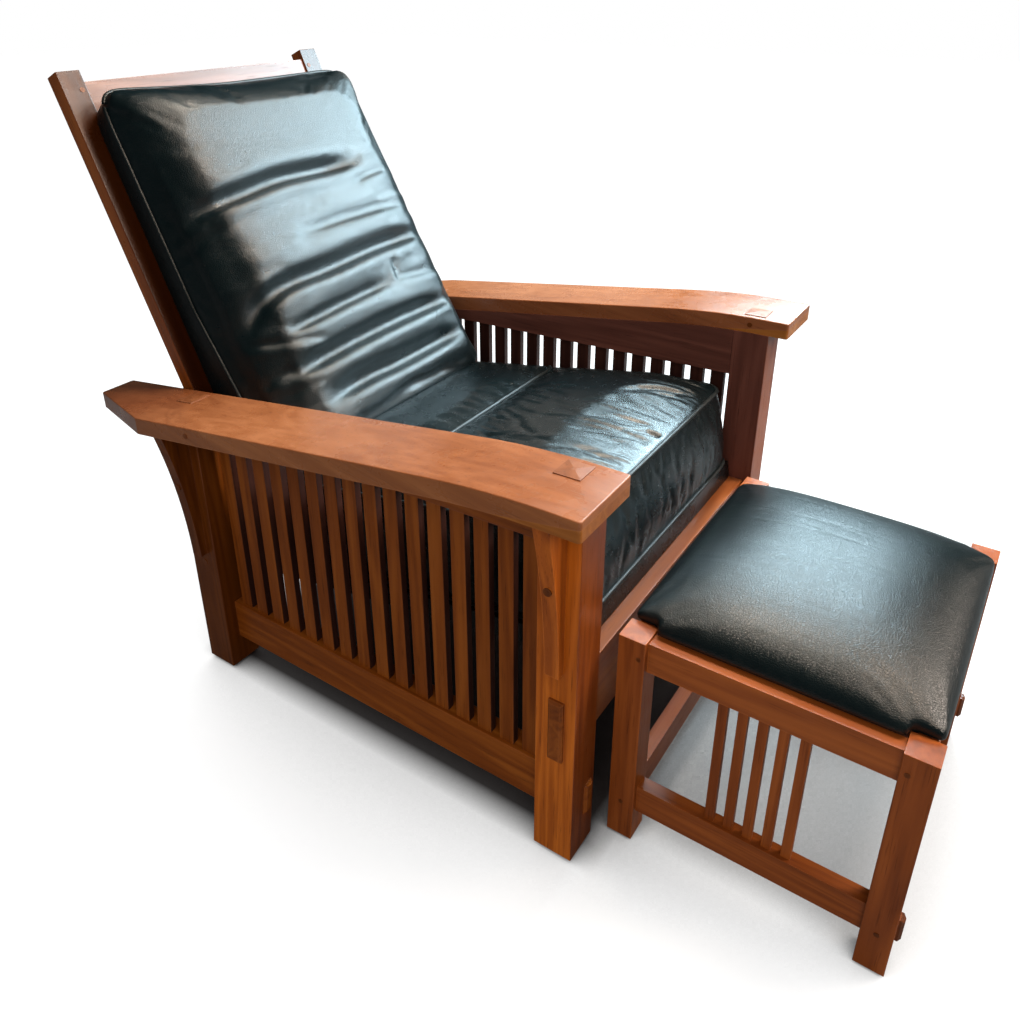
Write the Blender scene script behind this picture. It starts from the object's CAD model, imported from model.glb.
import bpy
import bmesh
import numpy as np
from math import cos, radians, sin
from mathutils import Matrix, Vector
from mathutils.bvhtree import BVHTree


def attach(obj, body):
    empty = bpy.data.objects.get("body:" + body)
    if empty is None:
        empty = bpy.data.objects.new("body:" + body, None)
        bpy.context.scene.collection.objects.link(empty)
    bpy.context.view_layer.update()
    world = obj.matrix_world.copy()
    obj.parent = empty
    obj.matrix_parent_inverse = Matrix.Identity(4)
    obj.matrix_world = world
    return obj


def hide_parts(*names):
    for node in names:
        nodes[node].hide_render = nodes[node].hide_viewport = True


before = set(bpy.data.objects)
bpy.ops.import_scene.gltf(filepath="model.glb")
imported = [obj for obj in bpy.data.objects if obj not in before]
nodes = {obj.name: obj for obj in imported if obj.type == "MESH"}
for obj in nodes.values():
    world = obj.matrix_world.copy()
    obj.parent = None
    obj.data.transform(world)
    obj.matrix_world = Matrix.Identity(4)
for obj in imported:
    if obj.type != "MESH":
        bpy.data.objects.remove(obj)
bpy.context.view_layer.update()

# The chair's own depths start at the front face of the front posts
depth_shift = -0.313078
seat_angle = radians(10.2)
recline = radians(24.0)
arm_fall = radians(8.4)


# Small helpers for meshes and objects
def mesh_from(name, bm):
    """A new mesh, made of what was built in bm."""
    mesh = bpy.data.meshes.new(name)
    bm.to_mesh(mesh)
    bm.free()
    return mesh


def placed(name, data):
    """A new object in the scene."""
    made = bpy.data.objects.new(name, data)
    bpy.context.scene.collection.objects.link(made)
    return made


# Shader maths
class Sum:
    """A shader socket that can be added, subtracted and multiplied like a number."""

    def __init__(self, surface, socket):
        self.surface = surface
        self.socket = socket

    def maths(self, operation, *values):
        return self.surface.node("ShaderNodeMath", {"operation": operation}, dict(enumerate(values)))

    def __add__(self, other):
        return self.maths("ADD", self, other)

    def __sub__(self, other):
        return self.maths("SUBTRACT", self, other)

    def __mul__(self, other):
        return self.maths("MULTIPLY", self, other)

    def sine(self):
        return self.maths("SINE", self)

    def size(self):
        return self.maths("ABSOLUTE", self)


class Surface:
    """A material under construction."""

    def __init__(self, name):
        self.material = bpy.data.materials.new(name)
        self.material.use_nodes = True
        self.tree = self.material.node_tree
        self.tree.nodes.clear()
        self.output = self.tree.nodes.new("ShaderNodeOutputMaterial")
        self.place = self.node("ShaderNodeTexCoord", {}, {}, "Object")

    def node(self, kind, settings, inputs, output=0):
        """Adds a node, makes its settings, joins its inputs and gives one of its outputs."""
        made = self.tree.nodes.new(kind)
        for key, value in settings.items():
            if key == "stops":
                ramp = made.color_ramp
                while len(ramp.elements) < len(value):
                    ramp.elements.new(1.0)
                for element, (place, colour) in zip(ramp.elements, value):
                    element.position = place
                    element.color = (*colour, 1.0)
            else:
                setattr(made, key, value)
        for key, value in inputs.items():
            if isinstance(value, Sum):
                self.tree.links.new(value.socket, made.inputs[key])
            else:
                made.inputs[key].default_value = value
        return Sum(self, made.outputs[output])

    def stretched(self, scale, turn=(0, 0, 0)):
        """Object coordinates, turned and then stretched."""
        turned = self.node("ShaderNodeMapping", {}, {"Vector": self.place, "Rotation": turn})
        return self.node("ShaderNodeMapping", {}, {"Vector": turned, "Scale": scale})

    def noise(self, place, scale=1.0, detail=3.0, roughness=0.5, distortion=0.0):
        values = {"Vector": place, "Scale": scale, "Detail": detail, "Roughness": roughness,
                  "Distortion": distortion}
        return self.node("ShaderNodeTexNoise", {}, values, "Fac")

    def cells(self, place, scale):
        values = {"Vector": place, "Scale": scale}
        return self.node("ShaderNodeTexVoronoi", {"feature": "DISTANCE_TO_EDGE"}, values, "Distance")

    def ramp(self, value, stops):
        return self.node("ShaderNodeValToRGB", {"stops": stops}, {"Fac": value}, "Color")

    def span(self, value, low, high, new_low=0.0, new_high=1.0):
        values = {"Value": value, "From Min": low, "From Max": high, "To Min": new_low, "To Max": new_high}
        return self.node("ShaderNodeMapRange", {"clamp": True}, values)

    def blend(self, factor, first, second):
        return self.node("ShaderNodeMix", {"data_type": "RGBA"}, {0: factor, 6: first, 7: second}, 2)

    def bump(self, height, strength, distance, normal=None):
        values = {"Height": height, "Strength": strength, "Distance": distance}
        if normal:
            values["Normal"] = normal
        return self.node("ShaderNodeBump", {}, values, "Normal")

    def edges(self, radius):
        """One on the outer edges of a piece, and nought on its faces."""
        rounded = self.node("ShaderNodeBevel", {"samples": 4}, {"Radius": radius})
        plain = self.node("ShaderNodeNewGeometry", {}, {}, "Normal")
        match = self.node("ShaderNodeVectorMath", {"operation": "DOT_PRODUCT"}, {0: rounded, 1: plain}, "Value")
        return self.span(match, 0.985, 0.85)

    def finish(self, **values):
        named = {key.replace("_", " "): value for key, value in values.items()}
        shader = self.node("ShaderNodeBsdfPrincipled", {}, named)
        self.tree.links.new(shader.socket, self.output.inputs["Surface"])
        return self.material


def flat(colour):
    """A colour as a shader's own value."""
    return (*colour, 1.0)


# Wood: stained boards with long streaks, growth lines, pores, small dents and worn edges
grain_scales = {"x": (0, 1, 1), "y": (1, 0, 1), "z": (1, 1, 0)}
tone_places = (0.34, 0.52, 0.70)
tint_depth = 0.001
worn_edge = 0.0028


def toned(tones, share):
    """The same wood, darker or lighter."""
    return [[c * share for c in tone] for tone in tones]


def wood(name, along, tones, gloss=0.36, turn=(0, 0, 0), figure=1.0, coat=0.0, specular=0.28, ends=()):
    """A stained wood whose grain runs along one axis, after a turn.

    Each of ends tints what lies past a place on an axis: X by its distance from the middle, a negative Y below
    its place, and a leaning Y in the turned piece's own depth.
    """
    surface = Surface(name)

    def grain(cross, length):
        scale = tuple(cross if share else length for share in grain_scales[along])
        return surface.stretched(scale, turn)

    broad = surface.noise(grain(7.0, 1.1), 1.0, 3.0, 0.55, 0.4)
    figure_lines = surface.noise(grain(16.0, 0.9), 1.0, 2.0, 0.5, 0.6)
    rings = (figure_lines * 46.0).sine() * 0.5 + 0.5
    streaks = surface.noise(grain(95.0, 3.2), 1.0, 5.0, 0.62, 0.2)
    pores = surface.noise(grain(520.0, 16.0), 1.0, 2.0, 0.6)
    clouds = surface.noise(surface.place, 5.0, 3.0, 0.5)
    pits = surface.span(pores, 0.60, 0.72)
    tone = broad * 0.45 + streaks * 0.32 + rings * (0.13 * figure) + clouds * 0.16
    dark, _, light = tones
    colour = surface.ramp(tone, list(zip(tone_places, tones)))
    for axis, place, tint in ends:
        where = surface.stretched((1.0, 1.0, 1.0), turn) if axis == "leaning Y" else surface.place
        reach = surface.node("ShaderNodeSeparateXYZ", {}, {"Vector": where}, axis[-1])
        if axis == "X":
            reach = reach.size()
        past = surface.span(reach, place, place + (tint_depth if place > 0 else -tint_depth))
        colour = surface.blend(past, colour, surface.ramp(tone, list(zip(tone_places, tint))))
    colour = surface.blend(pits * 0.5, colour, flat([c * 0.42 for c in dark]))
    worn = surface.edges(worn_edge) * surface.span(clouds, 0.40, 0.6) * 0.5
    colour = surface.blend(worn, colour, flat([min(1.0, c * 1.4 + 0.02) for c in light]))
    smears = surface.noise(surface.place, 11.0, 4.0, 0.65)
    shine = surface.span(smears, 0.3, 0.75, gloss - 0.07, gloss + 0.12) + pits * 0.15
    height = streaks * 0.25 + pores * 0.5 - pits * 0.8
    normal = surface.bump(height, 0.16, 0.0007)
    waves = surface.noise(surface.place, 9.0, 2.0, 0.5)
    normal = surface.bump(waves, 0.05, 0.01, normal)
    return surface.finish(Base_Color=colour, Roughness=shine, Normal=normal, Coat_Weight=coat,
                          Coat_Roughness=0.22, Specular_IOR_Level=specular)


# Dark, middle and light streaks of each stain
frame_tones = [(0.130, 0.028, 0.0030), (0.225, 0.055, 0.0062), (0.33, 0.092, 0.012)]
arm_tones = [(0.185, 0.054, 0.018), (0.270, 0.089, 0.032), (0.365, 0.134, 0.055)]
arm_edge_tones = [(0.200, 0.058, 0.0090), (0.290, 0.096, 0.0170), (0.390, 0.145, 0.0310)]
inner_tones = [(0.070, 0.023, 0.016), (0.120, 0.041, 0.029), (0.185, 0.066, 0.046)]
stool_tones = [(0.160, 0.034, 0.0055), (0.265, 0.063, 0.0105), (0.38, 0.100, 0.018)]
post_tones = [(0.27, 0.055, 0.0040), (0.46, 0.110, 0.0085), (0.68, 0.182, 0.018)]
front_tones = [(0.105, 0.019, 0.0022), (0.180, 0.037, 0.0042), (0.265, 0.062, 0.0080)]
crest_tones = [(0.085, 0.030, 0.018), (0.140, 0.054, 0.033), (0.200, 0.086, 0.055)]

# Places past which a board's faces take another stain, as the photograph shows them
post_inner_face, slat_outer_face, post_outer_face, arm_side_face = 0.2940, 0.3238, 0.3552, 0.4186
post_front_face, tenon_front, arm_front = depth_shift + 0.0011, depth_shift - 0.0005, depth_shift - 0.0306
stool_tenon_front, back_post_front = -0.7315, 0.2291
front_tenon_top, rear_tenon_top, front_rail_top = 0.629, 0.5, 0.3184
arm_turn, back_turn = (-arm_fall, 0, 0), (recline, 0, 0)

front_post_wood = wood("wood_upright", "z", inner_tones,
                       ends=(("X", post_inner_face, post_tones), ("Y", post_front_face, front_tones),
                             ("Z", front_tenon_top, toned(arm_tones, 0.85))))
corbel_wood = wood("wood_corbel", "z", toned(frame_tones, 2.0))
rear_post_wood = wood("wood_rear_post", "z", inner_tones, specular=0.2,
                      ends=(("X", post_inner_face, toned(frame_tones, 0.55)),
                            ("Z", rear_tenon_top, toned(arm_tones, 0.7))))
slat_wood = wood("wood_slat", "z", toned(inner_tones, 0.32), 0.42, specular=0.2,
                 ends=(("X", slat_outer_face, toned(frame_tones, 0.95)),))
side_rail_wood = wood("wood_side_rail", "y", inner_tones,
                      ends=(("X", post_inner_face, frame_tones), ("Y", tenon_front, frame_tones)))
low_rail_wood = wood("wood_low_rail", "y", inner_tones, specular=0.18,
                     ends=(("X", post_inner_face, toned(frame_tones, 1.05)), ("Y", tenon_front, frame_tones)))
cross_rail_wood = wood("wood_cross_rail", "x", frame_tones,
                       ends=(("Z", front_rail_top, toned(arm_tones, 1.05)),
                             ("X", post_outer_face, frame_tones)))
arm_wood = wood("wood_arm", "y", arm_tones, 0.28, arm_turn, 0.6, 0.1, 0.42,
                (("X", arm_side_face, arm_edge_tones), ("Y", arm_front, arm_edge_tones)))
wedge_wood = wood("wood_wedge", "y", arm_edge_tones, 0.3)
back_post_wood = wood("wood_back_post", "z", toned(front_tones, 0.24), 0.30, back_turn, 1.0, 0.05, 0.40,
                      (("leaning Y", back_post_front, toned(frame_tones, 0.9)),))
crest_wood = wood("wood_crest", "x", crest_tones, 0.36, back_turn, 1.2, 0.25, 0.45)
panel_wood = wood("wood_panel", "z", toned(inner_tones, 0.8), 0.38, back_turn)
stool_post_wood = wood("wood_stool_upright", "z", stool_tones, 0.34, specular=0.3)
stool_side_wood = wood("wood_stool_side", "y", stool_tones, specular=0.4,
                       ends=(("Y", stool_tenon_front, toned(stool_tones, 0.45)),))
stool_cross_wood = wood("wood_stool_cross", "x", stool_tones, specular=0.4)
plug_wood = wood("wood_plug", "z", toned(frame_tones, 0.55), 0.4)
peg_wood = wood("wood_peg", "x", toned(frame_tones, 0.8), 0.35)
hidden_wood = wood("wood_hidden", "x", toned(inner_tones, 0.8), 0.5)


def steel(name):
    """Turned steel with fine rings and a little tarnish."""
    surface = Surface(name)
    lines = surface.noise(surface.stretched((900.0, 40.0, 40.0)), 1.0, 2.0, 0.5)
    stains = surface.noise(surface.place, 60.0, 4.0, 0.6)
    colour = surface.ramp(stains, [(0.3, (0.20, 0.18, 0.16)), (0.6, (0.42, 0.40, 0.37)),
                                   (0.8, (0.5, 0.48, 0.45))])
    shine = surface.span(stains, 0.3, 0.7, 0.45, 0.28)
    normal = surface.bump(lines, 0.2, 0.0002)
    return surface.finish(Base_Color=colour, Metallic=1.0, Roughness=shine, Normal=normal)


hinge_steel = steel("hinge_steel")


# Leather: dark blue-green hide with a fine pebble, faint lines, scuffs and a soft shine
hide_tones = [(0.0013, 0.0044, 0.0058), (0.0024, 0.0066, 0.0082), (0.0050, 0.0100, 0.0112)]
scuffed_hide = (0.030, 0.037, 0.037)


def leather(name, crease, shine_low, shine_high, crease_scale=(34.0, 9.0, 20.0), pebble=0.3):
    """A soft full-grain leather: how deep its lines are, its roughness, the lines' spacing and the pebble."""
    surface = Surface(name)
    patches = surface.noise(surface.place, 7.0, 4.0, 0.6)
    mottle = surface.noise(surface.place, 60.0, 3.0, 0.55)
    colour = surface.ramp(patches * 0.7 + mottle * 0.3, list(zip((0.3, 0.55, 0.75), hide_tones)))
    pebbles = surface.cells(surface.place, 330.0)
    grain = surface.span(pebbles, 0.0, 0.16)
    fine = surface.noise(surface.place, 900.0, 2.0, 0.5)
    lines = surface.noise(surface.stretched(crease_scale), 1.0, 6.0, 0.68, 0.3)
    soft = surface.noise(surface.place, 22.0, 4.0, 0.6, 0.3)
    scuffs = surface.span(surface.noise(surface.place, 38.0, 5.0, 0.7), 0.58, 0.72)
    colour = surface.blend(scuffs * 0.12, colour, flat(scuffed_hide))
    shine = surface.span(soft * 0.6 + mottle * 0.4, 0.3, 0.7, shine_low, shine_high) + scuffs * 0.06
    normal = surface.bump(grain * 0.6 + fine * 0.4, pebble, 0.0006)
    normal = surface.bump(lines * 0.6 + soft * 0.5, 0.14 * crease, 0.004, normal)
    return surface.finish(Base_Color=colour, Roughness=shine, Normal=normal, Specular_IOR_Level=0.5)


back_leather = leather("leather_back", 1.2, 0.26, 0.36, (12.0, 34.0, 34.0), 0.5)
seat_leather = leather("leather_seat", 0.5, 0.21, 0.30, (60.0, 14.0, 30.0))
stool_leather = leather("leather_stool", 0.9, 0.27, 0.36, (90.0, 7.0, 60.0), 0.42)
deck_leather = leather("leather_deck", 0.12, 0.24, 0.32, (9.0, 30.0, 30.0), 0.1)
welt_leather = leather("leather_welt", 0.3, 0.42, 0.52)

# The material of each CAD piece, by the start of its name
finishes = [
    ("stool_slats", stool_post_wood), ("stool_upper_side", stool_side_wood),
    ("stool_lower_side", stool_side_wood), ("stool_upper_", stool_cross_wood),
    ("stool_lower_", stool_cross_wood), ("stool_board", hidden_wood), ("stool_plugs", plug_wood),
    ("stool_", stool_post_wood), ("arm_wedge", wedge_wood), ("arm_pins", plug_wood), ("arm_", arm_wood),
    ("front_post", front_post_wood), ("rear_post", rear_post_wood), ("side_slats", slat_wood),
    ("front_corbel", corbel_wood), ("rear_corbel", rear_post_wood), ("upper_side_rail", side_rail_wood),
    ("lower_side_rail", low_rail_wood), ("front_rail", cross_rail_wood), ("rear_rail", cross_rail_wood),
    ("front_seat_bearer", hidden_wood), ("rear_seat_bearer", hidden_wood), ("seat_deck", deck_leather),
    ("corbel_plugs", plug_wood), ("post_plugs", plug_wood), ("back_plugs", plug_wood),
    ("back_post", back_post_wood), ("back_crest", crest_wood), ("back_bottom", crest_wood),
    ("back_panel", panel_wood), ("hinge_", hinge_steel), ("stop_peg", peg_wood),
]
for name, node in nodes.items():
    chosen = [material for start, material in finishes if name.startswith(start)]
    node.data.materials.clear()
    node.data.materials.append(chosen[0] if chosen else seat_leather)


# Soft pieces
class Plot:
    """A flat place on the chair: its own axes, and points turned into them and back."""

    def __init__(self, origin, across, along, out):
        self.origin = np.array(origin)
        self.axes = np.array([across, along, out])

    def world(self, points):
        return np.asarray(points) @ self.axes + self.origin

    def local(self, points):
        return (np.asarray(points) - self.origin) @ self.axes.T


seat_plot = Plot((0, 0.045 + depth_shift, 0.352), (1, 0, 0),
                 (0, cos(seat_angle), -sin(seat_angle)), (0, sin(seat_angle), cos(seat_angle)))
hinge_y, hinge_z = 0.740 + depth_shift, 0.361
post_half = 0.01425
back_plot = Plot((0, hinge_y - post_half * cos(recline), hinge_z + post_half * sin(recline)), (1, 0, 0),
                 (0, sin(recline), cos(recline)), (0, -cos(recline), sin(recline)))
stool_plot = Plot((-0.027, -0.217 + depth_shift, 0.3693), (1, 0, 0), (0, 1, 0), (0, 0, 1))


def points_of(mesh):
    found = np.empty(len(mesh.vertices) * 3)
    mesh.vertices.foreach_get("co", found)
    return found.reshape(-1, 3)


def normals_of(mesh):
    found = np.empty(len(mesh.vertices) * 3)
    mesh.vertices.foreach_get("normal", found)
    return found.reshape(-1, 3)


def set_points(mesh, points):
    mesh.vertices.foreach_set("co", np.ascontiguousarray(points, dtype=float).ravel())
    mesh.update()


def applied(piece):
    """The piece with its modifiers made real."""
    graph = bpy.context.evaluated_depsgraph_get()
    mesh = bpy.data.meshes.new_from_object(piece.evaluated_get(graph))
    piece.modifiers.clear()
    old = piece.data
    piece.data = mesh
    bpy.data.meshes.remove(old)
    return piece


def stuffing(name, shape, plot, voxel, cuts=44, cut_away=()):
    """A closed block, shaped by a function of its three shares, with boxes cut away, and remeshed evenly."""
    bm = bmesh.new()
    bmesh.ops.create_cube(bm, size=2.0)
    bmesh.ops.subdivide_edges(bm, edges=bm.edges[:], cuts=cuts, use_grid_fill=True)
    mesh = mesh_from(name, bm)
    set_points(mesh, plot.world(shape(points_of(mesh))))
    piece = placed(name, mesh)
    for low, high in cut_away:
        bm = bmesh.new()
        bmesh.ops.create_cube(bm, size=1.0)
        cutter_mesh = mesh_from("cutter", bm)
        low, high = np.array(low), np.array(high)
        set_points(cutter_mesh, plot.world(points_of(cutter_mesh) * (high - low) + (low + high) / 2))
        cutter = placed("cutter", cutter_mesh)
        notch = piece.modifiers.new("notch", "BOOLEAN")
        notch.object = cutter
        notch.operation = "DIFFERENCE"
        notch.solver = "EXACT"
        applied(piece)
        bpy.data.objects.remove(cutter)
    skin = piece.modifiers.new("skin", "REMESH")
    skin.mode = "VOXEL"
    skin.voxel_size = voxel
    return applied(piece)


cloth_frames = 20


def plump(piece, plot, held, pressure, cap, slack):
    """Swells a piece by cloth simulation, held where a function says, and caps the movement."""
    start = points_of(piece.data)
    group = piece.vertex_groups.new(name="held")
    group.add([int(i) for i in np.nonzero(held(plot.local(start)))[0]], 1.0, "REPLACE")
    cloth = piece.modifiers.new("cloth", "CLOTH")
    settings = cloth.settings
    settings.quality = 6
    settings.mass = 0.3
    settings.tension_stiffness = 18.0
    settings.compression_stiffness = 18.0
    settings.shear_stiffness = 8.0
    settings.bending_stiffness = 0.35
    settings.air_damping = 1.5
    settings.use_pressure = True
    settings.uniform_pressure_force = pressure
    settings.shrink_min = -slack
    settings.vertex_group_mass = "held"
    settings.pin_stiffness = 1.0
    settings.effector_weights.gravity = 0.0
    cloth.collision_settings.use_collision = False
    cloth.point_cache.frame_start = 1
    cloth.point_cache.frame_end = cloth_frames
    for number in range(1, cloth_frames + 1):
        bpy.context.scene.frame_set(number)
    applied(piece)
    moved = points_of(piece.data) - start
    length = np.linalg.norm(moved, axis=1, keepdims=True)
    set_points(piece.data, start + moved * np.minimum(1.0, cap / np.maximum(length, 1e-9)))
    bpy.context.scene.frame_set(1)


def refine(piece, smooth=2):
    """Relaxes a skin a little and divides it once."""
    relax = piece.modifiers.new("relax", "SMOOTH")
    relax.factor = 0.5
    relax.iterations = smooth
    split = piece.modifiers.new("split", "SUBSURF")
    split.levels = 1
    split.render_levels = 1
    applied(piece)


def along_line(flat_points, line):
    """Distance to a line of points, signed by side, and the share of the way along it."""
    line = np.array(line, dtype=float)
    legs = np.diff(line, axis=0)
    lengths = np.linalg.norm(legs, axis=1)
    starts = np.concatenate([[0.0], np.cumsum(lengths)[:-1]])
    best = np.full(len(flat_points), 1e9)
    share = np.zeros(len(flat_points))
    side = np.ones(len(flat_points))
    for begin, leg, length, start in zip(line, legs, lengths, starts):
        reach = flat_points - begin
        step = np.clip(reach @ leg / length**2, 0, 1)
        gap = reach - step[:, None] * leg
        distance = np.linalg.norm(gap, axis=1)
        nearer = distance < best
        best[nearer] = distance[nearer]
        share[nearer] = (start + step[nearer] * length) / lengths.sum()
        side[nearer] = np.sign((leg[0] * gap[:, 1] - leg[1] * gap[:, 0])[nearer])
    return best * side, share


def smooth_line(line, rounds=2):
    """A line with its corners cut, so that a crease bends softly."""
    line = np.array(line, dtype=float)
    for _ in range(rounds):
        cut = [line[0]]
        for begin, end in zip(line, line[1:]):
            cut += [begin * 0.75 + end * 0.25, begin * 0.25 + end * 0.75]
        line = np.array(cut + [line[-1]])
    return line


def crease(piece, plot, columns, folds, faces, upper=1.0):
    """Presses creases into a piece: a valley, its upper wall wider by a factor, with a swelling below it."""
    points = points_of(piece.data)
    normals = normals_of(piece.data) @ plot.axes.T
    local = plot.local(points)
    flat_points = local[:, columns]
    open_side = faces(local, normals)
    push = np.zeros(len(points))
    for line, depth, width, swell in folds:
        line = smooth_line(line)
        reach = width * 5 * upper
        near = np.all(flat_points > line.min(axis=0) - reach, axis=1)
        near &= np.all(flat_points < line.max(axis=0) + reach, axis=1)
        near &= open_side > 0
        if not near.any():
            continue
        gap, share = along_line(flat_points[near], line)
        fade = np.clip(np.minimum(share, 1 - share) / 0.25, 0, 1)
        fade = fade * fade * (3 - 2 * fade)
        valley = -depth * np.exp(-(gap / np.where(gap > 0, width * upper, width)) ** 2)
        ridge = swell * np.exp(-((gap + width * 2.2) / (width * 1.6)) ** 2)
        lip = swell * 0.5 * np.exp(-((gap - width * 2.4 * upper) / (width * 1.7 * upper)) ** 2)
        push[near] += (valley + ridge + lip) * fade * open_side[near]
    set_points(piece.data, plot.world(local + normals * push[:, None]))


def finished(piece, material, body, replaced=None):
    """Gives a piece its material, body and declarations."""
    piece.data.materials.clear()
    piece.data.materials.append(material)
    piece.data.shade_smooth()
    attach(piece, body)
    if replaced:
        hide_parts(replaced)


def welt(name, cushion, plot, path, radius, body, closed=True, lift=0.35):
    """A piped seam: a round cord laid on a cushion's skin along a path."""
    tree = BVHTree.FromPolygons([tuple(v.co) for v in cushion.data.vertices],
                                [tuple(face.vertices) for face in cushion.data.polygons])
    laid = []
    for point in plot.world(path):
        where, normal, _, _ = tree.find_nearest(Vector(point))
        laid.append(np.array(where + normal * radius * lift))
    laid = np.array(laid)
    for _ in range(3):
        if closed:
            laid = (np.roll(laid, 1, axis=0) + laid * 2 + np.roll(laid, -1, axis=0)) / 4
        else:
            laid[1:-1] = (laid[:-2] + laid[1:-1] * 2 + laid[2:]) / 4
    curve = bpy.data.curves.new(name, "CURVE")
    curve.dimensions = "3D"
    curve.bevel_depth = radius
    curve.bevel_resolution = 3
    curve.use_fill_caps = True
    spline = curve.splines.new("POLY")
    spline.points.add(len(laid) - 1)
    for point, place in zip(spline.points, laid):
        point.co = (*place, 1.0)
    spline.use_cyclic_u = closed
    holder = placed(name, curve)
    graph = bpy.context.evaluated_depsgraph_get()
    mesh = bpy.data.meshes.new_from_object(holder.evaluated_get(graph))
    bpy.data.objects.remove(holder)
    finished(placed(name, mesh), welt_leather, body)


def rounded_loop(low, high, radius, step=0.006):
    """Points round a rectangle with round corners."""
    points = []
    corners = [((high[0] - radius, low[1] + radius), -90), ((high[0] - radius, high[1] - radius), 0),
               ((low[0] + radius, high[1] - radius), 90), ((low[0] + radius, low[1] + radius), 180)]
    for (x, y), start in corners:
        for turn in range(0, 91, 15):
            angle = radians(start + turn)
            points.append((x + radius * cos(angle), y + radius * sin(angle)))
    even = []
    for begin, end in zip(points, points[1:] + points[:1]):
        begin, end = np.array(begin), np.array(end)
        pieces = max(1, int(np.linalg.norm(end - begin) / step))
        even += [begin + (end - begin) * i / pieces for i in range(pieces)]
    return np.array(even)


def round_corners(first, second, power):
    """Draws in the corners of a square share, as a stuffed cushion's are."""
    size = np.maximum(np.abs(first), np.abs(second))
    full = (np.abs(first) ** power + np.abs(second) ** power) ** (1 / power)
    factor = np.where(full > 1e-9, size / np.maximum(full, 1e-9), 1.0)
    return first * factor, second * factor


rng = np.random.default_rng(7)
welt_radius, seam_welt_radius = 0.0036, 0.0034

# Seat cushion: where it lies along the deck, half its width, and the seam across it
seat_low, seat_high = -0.003, 0.648
seat_half = 0.286
seat_seam = 0.332
seat_underside = 0.0006


def seat_edge(along):
    """Height of the upper welt: lower at the front."""
    return 0.150 + 0.012 * np.clip((along - seat_low) / 0.12, 0, 1)


def seat_shape(shares):
    a, b, c = shares.T
    a, b = round_corners(a, b, 22)
    middle = (seat_low + seat_high) / 2
    along = middle + b * (seat_high - seat_low) / 2
    crown = (np.clip(1 - np.abs(a) ** 7, 0, 1) * np.clip(1 - np.abs(b) ** 6, 0, 1)) ** 0.55
    top = seat_edge(along) + 0.022 * crown
    seam = np.exp(-((along - seat_seam) / 0.022) ** 2)
    top = top - 0.005 * seam * crown
    height = seat_underside + (top - seat_underside) * (c + 1) / 2
    bulge = 1 - np.abs(2 * height / seat_edge(along) - 1) ** 2
    along = along - 0.006 * np.clip(bulge, 0, 1) * np.clip((-b - 0.9) / 0.1, 0, 1)
    return np.stack([a * seat_half, along, height], axis=1)


def seat_held(local):
    across, along, height = local.T
    edge = seat_edge(along)
    rim = (np.abs(across) > seat_half - 0.010) | (along < seat_low + 0.010) | (along > seat_high - 0.010)
    upper = rim & (np.abs(height - edge) < 0.0065)
    lower = rim & (np.abs(height - 0.010) < 0.007)
    seam = (height > 0.12) & (np.abs(along - seat_seam) < 0.005) & (np.abs(across) < 0.274)
    return upper | lower | seam | (height < 0.003)


seat = stuffing("seat_cushion_leather", seat_shape, seat_plot, 0.0055)
plump(seat, seat_plot, seat_held, 4.0, 0.010, 0.012)
refine(seat)


def top_side(local, normals):
    return np.clip((normals[:, 2] - 0.25) / 0.35, 0, 1)


def front_side(local, normals):
    return np.clip((-normals[:, 1] - 0.35) / 0.35, 0, 1)


# Creases that fan back from the front welt, then those at the seam across the seat, then loose ones
seat_folds = []
for _ in range(44):
    start = rng.uniform(-0.27, 0.275)
    length = rng.uniform(0.03, 0.15)
    lean = rng.uniform(-0.5, 0.1)
    line = [(start, 0.002), (start + lean * length * 0.3, 0.002 + length * 0.45),
            (start + lean * length * 1.1, 0.002 + length)]
    strength = 0.35 + 0.65 * np.clip((start + 0.05) / 0.2, 0, 1)
    seat_folds.append((line, rng.uniform(0.0010, 0.0034) * strength, rng.uniform(0.0036, 0.0062),
                       rng.uniform(0.0004, 0.0012) * strength))
for _ in range(30):
    start = rng.uniform(-0.27, 0.27)
    way = 1 if rng.uniform() < 0.35 else -1
    length = rng.uniform(0.03, 0.13)
    lean = rng.uniform(-0.6, 0.1)
    line = [(start, seat_seam + way * 0.006), (start + lean * length * 0.5, seat_seam + way * length * 0.5),
            (start + lean * length, seat_seam + way * length)]
    seat_folds.append((line, rng.uniform(0.0005, 0.0014), rng.uniform(0.0035, 0.0065), 0.0004))
for _ in range(30):
    x, t = rng.uniform(-0.22, 0.24), rng.uniform(0.04, 0.30)
    turn, length = rng.uniform(-0.5, 0.5), rng.uniform(0.05, 0.14)
    line = [(x, t), (x + length * 0.5 * turn, t + length * 0.5), (x + length * turn * 1.4, t + length)]
    seat_folds.append((line, rng.uniform(0.0004, 0.0013), rng.uniform(0.004, 0.008), 0.0004))
crease(seat, seat_plot, [0, 1], seat_folds, top_side)

# Gathers up and down the front boxing, at both its welts
gathers = []
for number in range(46):
    start = -0.27 + 0.54 * number / 45 + rng.uniform(-0.004, 0.004)
    for base, way in ((0.012, 1), (0.148, -1)):
        length = rng.uniform(0.03, 0.085)
        lean = rng.uniform(-0.7, 0.7)
        line = [(start, base), (start + lean * length * 0.5, base + way * length * 0.5),
                (start + lean * length, base + way * length)]
        gathers.append((line, rng.uniform(0.0001, 0.0007), rng.uniform(0.0045, 0.0080),
                        rng.uniform(0.0001, 0.0002)))
crease(seat, seat_plot, [0, 2], gathers, front_side)
finished(seat, seat_leather, "chair_frame", "seat_cushion")

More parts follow.
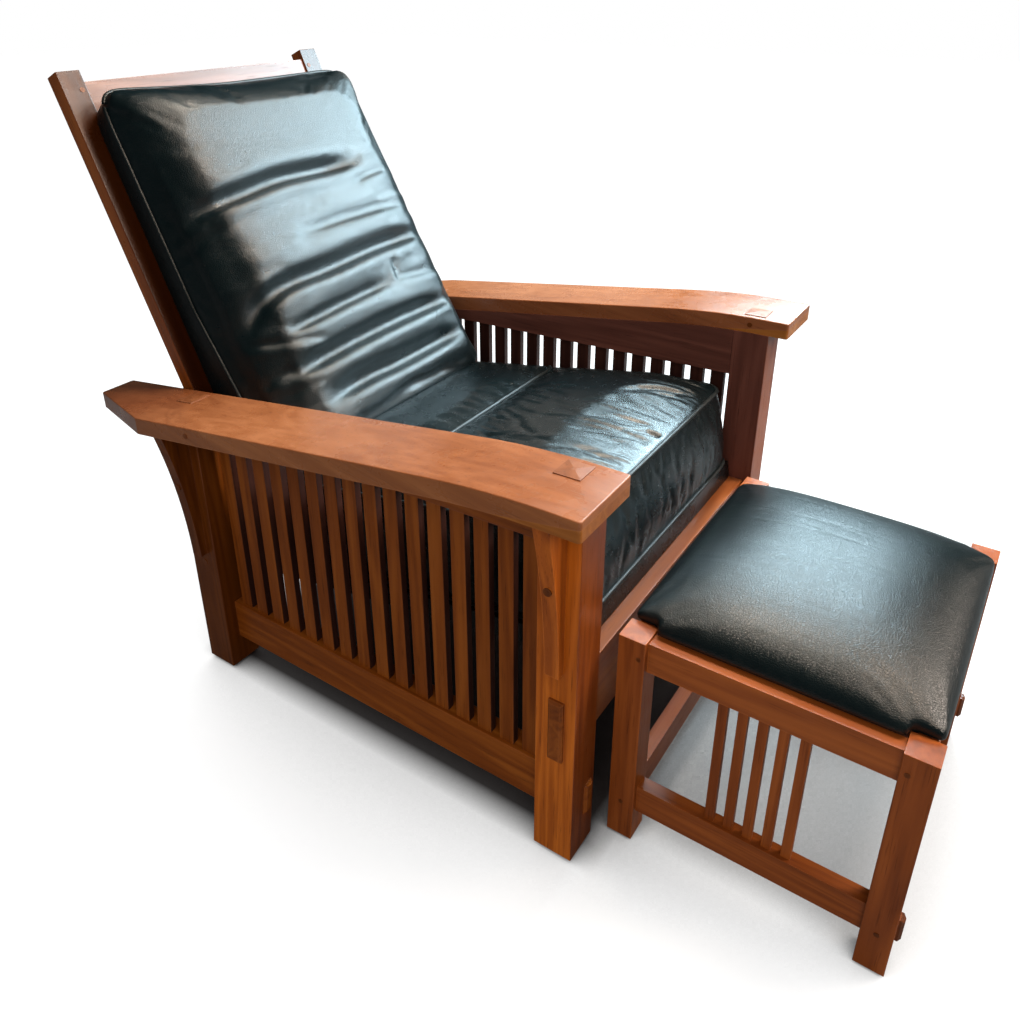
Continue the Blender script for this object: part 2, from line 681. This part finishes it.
upper_loop = rounded_loop((-seat_half, seat_low), (seat_half, seat_high), 0.026)
upper_path = np.column_stack([upper_loop, seat_edge(upper_loop[:, 1])])
welt("seat_welt_upper", seat, seat_plot, upper_path, welt_radius, "chair_frame")
lower_path = np.column_stack([upper_loop, np.full(len(upper_loop), 0.0105)])
welt("seat_welt_lower", seat, seat_plot, lower_path, welt_radius, "chair_frame")
seam_x = np.linspace(-0.270, 0.270, 110)
seam_bow = seat_seam + 0.016 * np.clip((np.abs(seam_x) - 0.21) / 0.06, 0, 1) ** 2
seam_path = np.column_stack([seam_x, seam_bow, np.full(len(seam_x), 0.185)])
welt("seat_welt_cross", seat, seat_plot, seam_path, seam_welt_radius, "chair_frame", False)

# Back cushion: its middle, half its width, and its top's height along the back
back_shift, back_half = 0.007, 0.268
back_top = 0.668


def welt_out(rise, across):
    """How far the front welt stands off the back frame: less towards the top, save at its far corner."""
    corner = np.clip((rise - 0.42) / 0.24, 0, 1) ** 2 * np.clip((across - back_shift) / back_half, 0, 1) ** 3
    return np.interp(rise, [0.05, 0.15, 0.30, back_top], [0.086, 0.074, 0.052, 0.042]) + 0.014 * corner


def ear(across, rise):
    """How much higher the front of the cushion's near upper corner stands."""
    near = np.clip((back_shift - across) / back_half, 0, 1)
    return 0.015 * near**1.5 * np.clip((rise - 0.50) / 0.168, 0, 1) ** 1.5


def back_depth(rise):
    """How far the middle of the back cushion stands forward, at a height along the back."""
    return np.interp(rise, [0.0, 0.10, 0.20, 0.34, 0.45, 0.59, 0.672],
                     [0.186, 0.178, 0.166, 0.150, 0.136, 0.118, 0.106])


# The cushion's rolls meet in these valleys: their points across and up the back, depth and half width
back_valleys = [
    ([(-0.262, 0.428), (-0.241, 0.443), (-0.194, 0.453), (-0.127, 0.460), (-0.051, 0.470), (0.049, 0.468),
      (0.165, 0.469)], 0.0105, 0.0120),
    ([(-0.075, 0.367), (0.036, 0.371), (0.148, 0.371), (0.250, 0.365)], 0.0035, 0.0110),
    ([(-0.258, 0.200), (-0.219, 0.254), (-0.185, 0.281), (-0.134, 0.293), (-0.039, 0.293), (0.074, 0.302),
      (0.162, 0.303), (0.262, 0.298)], 0.0110, 0.0125),
    ([(-0.205, 0.214), (-0.107, 0.222), (-0.002, 0.229), (0.105, 0.233)], 0.0055, 0.0100),
    ([(-0.236, 0.140), (-0.213, 0.143), (-0.126, 0.154), (-0.021, 0.158), (0.095, 0.161), (0.250, 0.157)],
     0.0105, 0.0125),
    ([(-0.185, 0.080), (-0.067, 0.090), (0.014, 0.086), (0.105, 0.088), (0.245, 0.089)], 0.0105, 0.0130),
]


def back_shape(shares):
    a, b, c = shares.T
    a, b = round_corners(a, b, 20)
    front = (c + 1) / 2
    rise_share = (b + 1) / 2
    rise = 0.055 + rise_share * (back_top - 0.055)
    power = np.where(a < 0, 5.0, 11.0)
    side = np.clip(1 - np.abs(a) ** power, 0, 1) ** 0.4
    top = np.clip(1 - np.clip((b - 0.84) / 0.16, 0, 1) ** 2, 0, 1) ** 0.5
    across = back_shift + a * back_half
    edge = welt_out(rise, across)
    full = edge + (back_depth(rise) - edge) * side * (0.12 + 0.88 * top)
    out = 0.0009 + (full - 0.0009) * front
    low = 0.056 - 0.046 * np.clip(out / 0.182, 0, 1)
    rise = low + rise_share * (back_top - low)
    rise = rise + ear(across, rise) * np.clip(out / 0.04, 0, 1)
    return np.stack([across, rise, out], axis=1)


def back_held(local):
    across, rise, out = local.T
    top = back_top + ear(across, rise) * np.clip(out / 0.04, 0, 1)
    rim = (np.abs(across - back_shift) > back_half - 0.010) | (rise > top - 0.010)
    seam = rim & (np.abs(out - welt_out(rise, across)) < 0.006)
    rear_seam = rim & (out < 0.012)
    return seam | rear_seam | (out < 0.003)


# Half of each valley's depth is there before the stuffing swells it, and creases add the rest
upper_wall = 1.7
back = stuffing("back_cushion_leather", back_shape, back_plot, 0.006)
draft = back_plot.local(points_of(back.data))
forward = np.clip((draft[:, 2] - 0.08) / 0.02, 0, 1)
for line, depth, width in back_valleys:
    gap, share = along_line(draft[:, :2], smooth_line(line))
    fade = np.clip(np.minimum(share, 1 - share) / 0.22, 0, 1)
    valley = np.exp(-(gap / np.where(gap > 0, upper_wall * width, width)) ** 2)
    draft[:, 2] -= 0.5 * depth * valley * fade * (2 - fade) * forward
set_points(back.data, back_plot.world(draft))
plump(back, back_plot, back_held, 3.0, 0.007, 0.002)
refine(back)


def forward_side(local, normals):
    return np.clip((normals[:, 2] - 0.2) / 0.35, 0, 1)


back_folds = [(line, depth * 1.2, width * 0.80, depth * 0.34) for line, depth, width in back_valleys]
back_folds += [
    ([(0.110, 0.430), (0.158, 0.438), (0.215, 0.442)], 0.0024, 0.0060, 0.0010),
    ([(-0.203, 0.342), (-0.120, 0.350), (-0.055, 0.360)], -0.0016, 0.0120, 0.0),
    ([(0.110, 0.275), (0.112, 0.255), (0.106, 0.222)], 0.0020, 0.0060, 0.0010),
    ([(0.095, 0.238), (0.160, 0.227), (0.258, 0.221)], 0.0036, 0.0075, 0.0014),
    ([(-0.250, 0.219), (-0.186, 0.200), (-0.105, 0.184)], 0.0026, 0.0060, 0.0016),
    ([(-0.262, 0.405), (-0.244, 0.428), (-0.215, 0.436)], 0.0018, 0.0060, 0.0010),
    ([(-0.262, 0.375), (-0.232, 0.406), (-0.190, 0.414)], 0.0022, 0.0070, 0.0010),
    ([(-0.250, 0.130), (-0.225, 0.153), (-0.185, 0.150)], 0.0022, 0.0060, 0.0010),
    ([(-0.235, 0.110), (-0.190, 0.122), (-0.150, 0.120)], 0.0018, 0.0060, 0.0010),
    ([(-0.240, 0.320), (-0.190, 0.322), (-0.120, 0.330)], 0.0014, 0.0080, 0.0008),
    ([(0.140, 0.395), (0.200, 0.398), (0.262, 0.390)], 0.0018, 0.0070, 0.0010),
    ([(-0.03, 0.040), (0.10, 0.036), (0.24, 0.036)], 0.0040, 0.0080, 0.0010),
]
for number in range(34):
    rise = rng.uniform(0.06, 0.56)
    way = 1 if number % 2 else -1
    start = back_shift + way * rng.uniform(0.19, 0.255)
    length = rng.uniform(0.04, 0.11)
    line = [(start, rise), (start - way * length * 0.5, rise + rng.uniform(-0.01, 0.012)),
            (start - way * length, rise + rng.uniform(-0.02, 0.022))]
    back_folds.append((line, rng.uniform(0.0003, 0.0009), rng.uniform(0.006, 0.010), 0.0003))
for _ in range(30):
    x, rise = rng.uniform(-0.2, 0.2), rng.uniform(0.10, 0.50)
    length = rng.uniform(0.05, 0.13)
    line = [(x, rise), (x + length * 0.5, rise + rng.uniform(-0.006, 0.008)),
            (x + length, rise + rng.uniform(-0.01, 0.014))]
    back_folds.append((line, rng.uniform(0.0003, 0.0008), rng.uniform(0.006, 0.010), 0.0003))
crease(back, back_plot, [0, 1], back_folds, forward_side, upper_wall)
finished(back, back_leather, "back_cushion", "back_cushion")

# The front welt is open at the foot, so its path starts again after its longest step
loop = rounded_loop((back_shift - back_half, 0.040), (back_shift + back_half, back_top), 0.018)
front_path = np.column_stack([loop, welt_out(loop[:, 1], loop[:, 0])])
front_path[:, 1] += ear(loop[:, 0], loop[:, 1])
open_path = front_path[front_path[:, 1] > 0.05]
turn_point = int(np.argmax(np.linalg.norm(np.diff(open_path, axis=0), axis=1))) + 1
open_path = np.concatenate([open_path[turn_point:], open_path[:turn_point]])
welt("back_welt_front", back, back_plot, open_path, welt_radius, "back_cushion", False)

# Footstool cushion: half its width and depth, with a notch for each post
pad_half_x, pad_half_y = 0.2205, 0.2
pad_underside = 0.0004


def pad_shape(shares):
    a, b, c = shares.T
    a, b = round_corners(a, b, 18)
    crown = (np.clip(1 - np.abs(a) ** 2.8, 0, 1) * np.clip(1 - np.abs(b) ** 2.8, 0, 1)) ** 0.6
    top = 0.012 + 0.048 * crown
    height = pad_underside + (top - pad_underside) * (c + 1) / 2
    return np.stack([a * pad_half_x, b * pad_half_y, height], axis=1)


def pad_held(local):
    return local[:, 2] < 0.010


notch_x, notch_y, past_corner = 0.2042, 0.1597, 0.30
notches = []
for way_x in (-1, 1):
    for way_y in (-1, 1):
        left, right = sorted((way_x * notch_x, way_x * past_corner))
        front, rear = sorted((way_y * notch_y, way_y * past_corner))
        notches.append(((left, front, -0.05), (right, rear, 0.09)))
pad = stuffing("stool_cushion_leather", pad_shape, stool_plot, 0.004, 40, notches)
plump(pad, stool_plot, pad_held, 2.0, 0.004, 0.0)
refine(pad, 12)
pad_folds = []
for _ in range(22):
    x, y = rng.uniform(-0.12, 0.16), rng.uniform(-0.17, 0.02)
    length = rng.uniform(0.12, 0.24)
    drift = rng.uniform(-0.012, 0.012)
    line = [(x, y), (x + drift, y + length * 0.5), (x + drift * 2, y + length)]
    pad_folds.append((line, rng.uniform(0.0001, 0.00028), rng.uniform(0.0025, 0.004), 0.0))
crease(pad, stool_plot, [0, 1], pad_folds, top_side)
finished(pad, stool_leather, "footstool", "stool_cushion")

# Camera, at the photograph's place
camera_data = bpy.data.cameras.new("camera")
camera = placed("camera", camera_data)
camera.location = (-1.1321, -0.72792, 1.18027)
camera.rotation_euler = (radians(65.278175), radians(0.065649), radians(-56.421462))
camera_data.sensor_fit = "HORIZONTAL"
camera_data.sensor_width = 36.0
camera_data.lens = 31.2572
camera_data.shift_x = -0.0012
camera_data.shift_y = -0.12908
camera_data.clip_end = 60.0
bpy.context.scene.camera = camera

# Floor: white to the camera with the object's shadow, and dim in reflections
reflected_white = 0.05
under_chair_tone = (0.020, 0.012, 0.010)
bm = bmesh.new()
bmesh.ops.create_grid(bm, x_segments=1, y_segments=1, size=14.0)
floor_mesh = mesh_from("studio_floor", bm)
floor = placed("studio_floor", floor_mesh)
surface = Surface("studio_white")
rays = [surface.node("ShaderNodeLightPath", {}, {}, ray)
        for ray in ("Is Camera Ray", "Is Transmission Ray", "Is Glossy Ray")]
seen = rays[0] + rays[1] + rays[2] * reflected_white
shadow = surface.node("ShaderNodeAmbientOcclusion", {"samples": 16}, {"Distance": 0.7}, "AO")
floor_x = surface.node("ShaderNodeSeparateXYZ", {}, {"Vector": surface.place}, "X")
floor_y = surface.node("ShaderNodeSeparateXYZ", {}, {"Vector": surface.place}, "Y")
middle_y = 0.393 + depth_shift
under_chair = surface.span(floor_x.size(), 0.36, 0.31)
under_chair = under_chair * surface.span((floor_y - middle_y).size(), 0.43, 0.38)
lit = surface.span(shadow, 0.12, 0.72) * (under_chair * -0.95 + 1.0)
glow = surface.ramp(seen * lit, [(0.0, (0, 0, 0)), (1.0, (1, 1, 1))])
ground = surface.blend(under_chair, (0.16, 0.16, 0.16, 1.0), flat(under_chair_tone))
floor_mesh.materials.append(surface.finish(Base_Color=ground, Roughness=0.9, Specular_IOR_Level=0.0,
                                           Emission_Color=glow, Emission_Strength=1.0))


# Lamps: soft windows whose reflections lie where the photograph shows them
def window(name, place, target, width, height, power, colour):
    """A rectangular lamp at a place, turned to a target, that the camera doesn't see."""
    data = bpy.data.lights.new(name, "AREA")
    data.shape = "RECTANGLE"
    data.size = width
    data.size_y = height
    data.energy = power
    data.color = colour
    lamp = placed(name, data)
    lamp.location = place
    lamp.rotation_euler = (Vector(target) - Vector(place)).to_track_quat("-Z", "Y").to_euler()
    lamp.visible_camera = False
    return lamp


window("window_high", (1.80, -0.16, 1.95), (-0.06, -0.52, 0.42), 1.1, 1.05, 68.0, (0.64, 0.89, 1.0))
window("window_seat", (2.30, 0.28, 1.75), (0.15, -0.25, 0.53), 0.9, 0.45, 18.0, (0.64, 0.89, 1.0))
window("window_low", (1.42, -0.73, 1.45), (0.05, 0.42, 0.78), 0.6, 0.85, 86.0, (0.64, 0.88, 1.0))
window("window_left", (1.63, -2.71, 2.38), (-0.2, 0.45, 0.75), 1.0, 1.6, 90.0, (1.0, 0.86, 0.74))
window("lamp_above", (0.55, -1.15, 2.55), (-0.15, 0.55, 1.0), 0.6, 0.9, 34.0, (1.0, 0.78, 0.60))
window("lamp_room", (0.52, 0.02, 2.42), (-0.15, -0.45, 0.41), 0.55, 0.5, 34.0, (1.0, 0.86, 0.70))
window("lamp_wall", (4.00, 2.60, 1.85), (0.0, -0.1, 0.5), 1.3, 1.3, 5.0, (1.0, 0.88, 0.76))
fill = window("lamp_front", (-2.4, -1.2, 1.9), (0.0, 0.0, 0.4), 2.2, 2.0, 32.0, (1.0, 0.93, 0.85))
fill.visible_glossy = False

# A black flag that keeps the low window off the footstool
bm = bmesh.new()
bm.faces.new([bm.verts.new(corner) for corner in
              [(0.95, -1.20, 0.75), (0.95, -0.56, 0.75), (0.95, -0.56, 1.75), (0.95, -1.20, 1.75)]])
flag_mesh = mesh_from("studio_flag", bm)
flag = placed("studio_flag", flag_mesh)
flag_mesh.materials.append(Surface("studio_black").finish(Base_Color=flat((0.0, 0.0, 0.0)), Roughness=1.0,
                                                          Specular_IOR_Level=0.0))
flag.visible_camera = False

# World: white to the camera, and dim in reflections, with a little blue-green
room_light, reflected_loss, reflected_tint = 0.26, -0.233, (0.45, 0.95, 1.0)
world = bpy.data.worlds.new("studio")
world.use_nodes = True
tree = world.node_tree
backdrop = tree.nodes["Background"]
path = tree.nodes.new("ShaderNodeLightPath")
strength = tree.nodes.new("ShaderNodeMapRange")
strength.inputs["To Min"].default_value = room_light
strength.inputs["To Max"].default_value = 1.0
dimmed = tree.nodes.new("ShaderNodeMath")
dimmed.operation = "MULTIPLY_ADD"
dimmed.inputs[1].default_value = reflected_loss
tint = tree.nodes.new("ShaderNodeMix")
tint.data_type = "RGBA"
tint.inputs[6].default_value = flat((1, 1, 1))
tint.inputs[7].default_value = flat(reflected_tint)
tree.links.new(path.outputs["Is Glossy Ray"], tint.inputs[0])
tree.links.new(tint.outputs[2], backdrop.inputs[0])
tree.links.new(path.outputs["Is Camera Ray"], strength.inputs["Value"])
tree.links.new(path.outputs["Is Glossy Ray"], dimmed.inputs[0])
tree.links.new(strength.outputs["Result"], dimmed.inputs[2])
tree.links.new(dimmed.outputs[0], backdrop.inputs[1])
bpy.context.scene.world = world
bpy.context.scene.view_settings.view_transform = "Standard"
